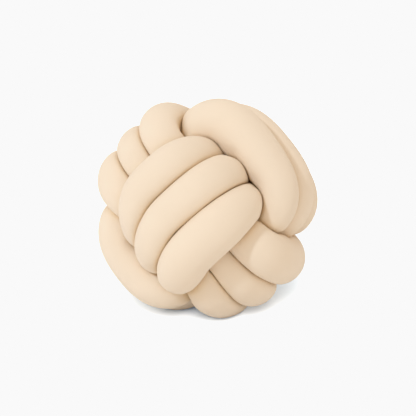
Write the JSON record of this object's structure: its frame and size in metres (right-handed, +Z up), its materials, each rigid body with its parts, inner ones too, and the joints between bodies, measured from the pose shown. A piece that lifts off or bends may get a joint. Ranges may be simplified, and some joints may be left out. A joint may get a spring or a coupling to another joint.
{
  "type": "knot cushion",
  "caption": "Ball-shaped cushion tied from one thick stuffed jersey tube in woven bands of parallel turns, to throw on a sofa or bed.",
  "frame": {"origin": "middle of the cushion's outer size, on the surface that it stands on", "axes": "+Z up, -Y towards the side with the band that runs from lower left to upper right, +X to the right as seen from that side"},
  "size_m": [0.2962, 0.3118, 0.2921],
  "materials": {
    "cream_jersey": "matte smooth cream jersey, softly padded"
  },
  "bodies": {
    "root": {"knotted_tube": "cream_jersey"}
  },
  "joints": []
}
